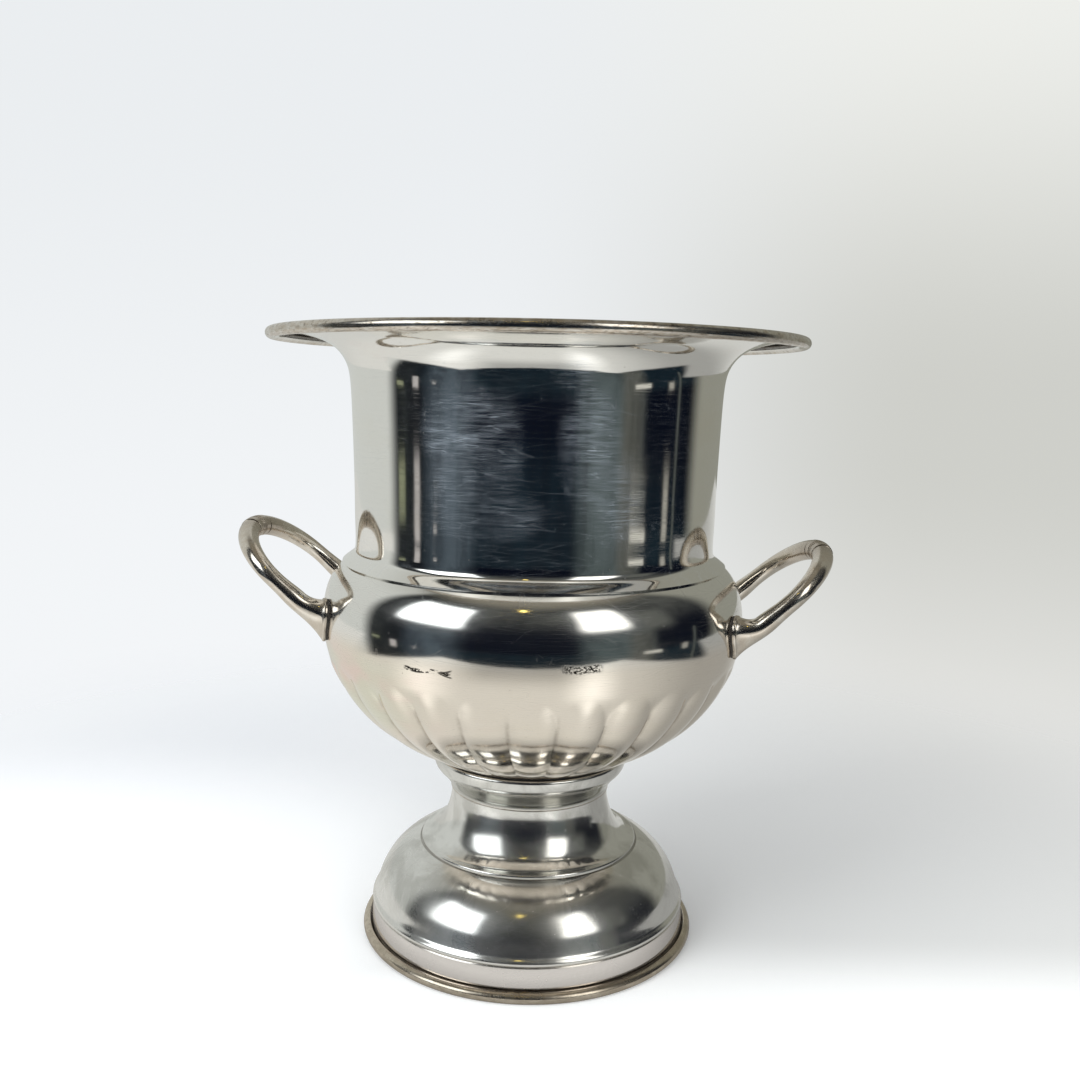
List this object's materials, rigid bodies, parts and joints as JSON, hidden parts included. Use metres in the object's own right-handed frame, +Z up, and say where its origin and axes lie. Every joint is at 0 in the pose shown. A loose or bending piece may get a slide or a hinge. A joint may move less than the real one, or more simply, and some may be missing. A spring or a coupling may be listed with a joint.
{
  "type": "champagne bucket",
  "caption": "Urn shaped champagne bucket in silver plated metal with a lobed bowl, straight neck, wide rolled rim, pedestal foot and loop side handles.",
  "frame": {"origin": "centre of the foot ring on the plane it rests on", "axes": "+Z up the bucket's axis; the two loop handles stand out along +X and -X; -Y is the front"},
  "size_m": [0.257, 0.2274, 0.2638],
  "materials": {
    "silver_plate": "silver plated, mirror polished, lightly scratched and tarnished",
    "handle_metal": "cast brass, nickel and silver plated, warm toned",
    "plain_brass": "turned brass, unplated",
    "wire_steel": "drawn wire",
    "fastener_steel": "zinc plated steel",
    "sealing_rubber": "soft black packing"
  },
  "bodies": {
    "root": {"upper_wall": "silver_plate", "rim_wire": "wire_steel", "lobed_bowl": "silver_plate", "foot_collar": "silver_plate", "foot_stem": "silver_plate", "foot_base": "silver_plate", "foot_wire": "wire_steel", "handle_left": "handle_metal", "handle_right": "handle_metal", "handle_gaskets": "sealing_rubber", "handle_screws": "fastener_steel", "handle_washers": "fastener_steel", "joint_gasket": "sealing_rubber", "bowl_seal": "sealing_rubber", "cap_washer": "plain_brass", "cap_nut": "plain_brass", "centre_stud": "fastener_steel", "spreader_plate": "plain_brass", "lock_washer": "fastener_steel", "foot_nut": "fastener_steel"}
  },
  "joints": []
}
